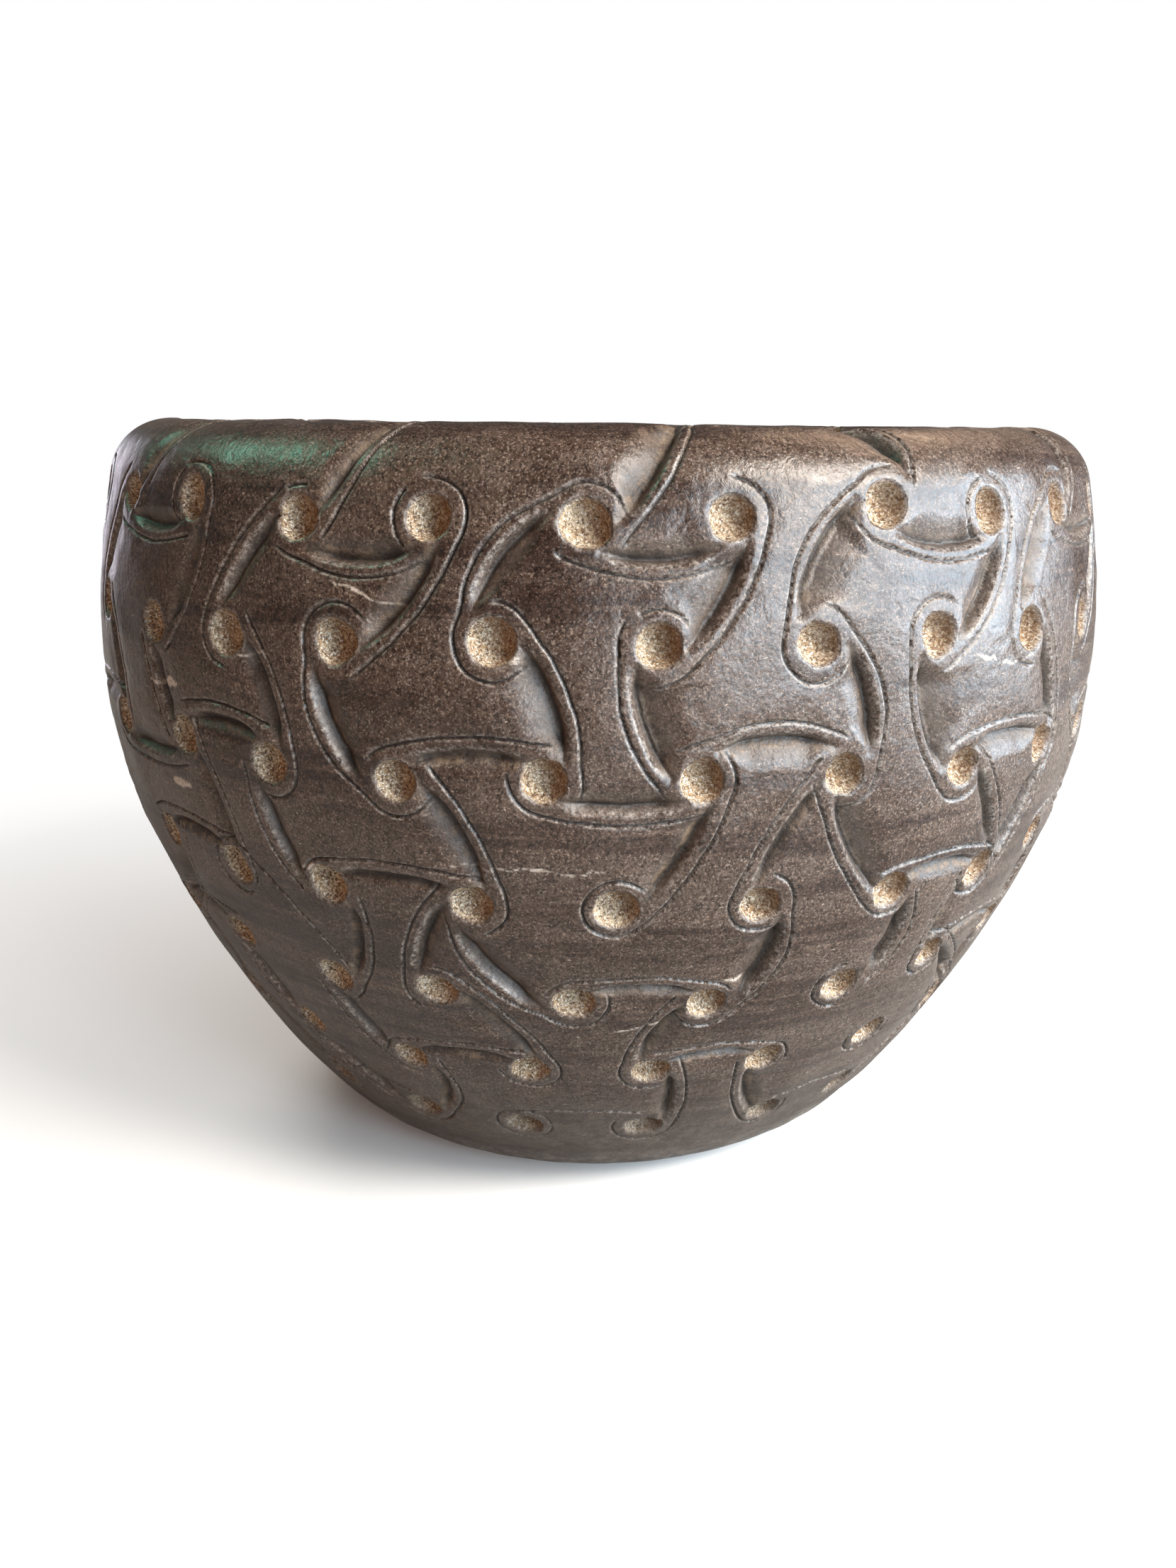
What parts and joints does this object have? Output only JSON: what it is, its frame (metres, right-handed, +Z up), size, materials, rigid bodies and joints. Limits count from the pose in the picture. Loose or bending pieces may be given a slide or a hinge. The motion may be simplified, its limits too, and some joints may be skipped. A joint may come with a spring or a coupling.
{
  "type": "bowl",
  "caption": "Deep round bowl with a rolled-in rim, its outside carved with rows of round pits joined by curved channels, standing on a flat foot.",
  "frame": {"origin": "centre of the flat foot, on the plane the bowl rests on", "axes": "+Z up along the bowl's axis, -Y the side shown in the main view, +X to the right of that view"},
  "size_m": [0.2798, 0.2798, 0.197],
  "materials": {
    "bowl_stone": "dark grey-brown speckled stone, waxed to a soft shine, with rough tan pits"
  },
  "bodies": {
    "root": {"carved_bowl": "bowl_stone"}
  },
  "joints": []
}
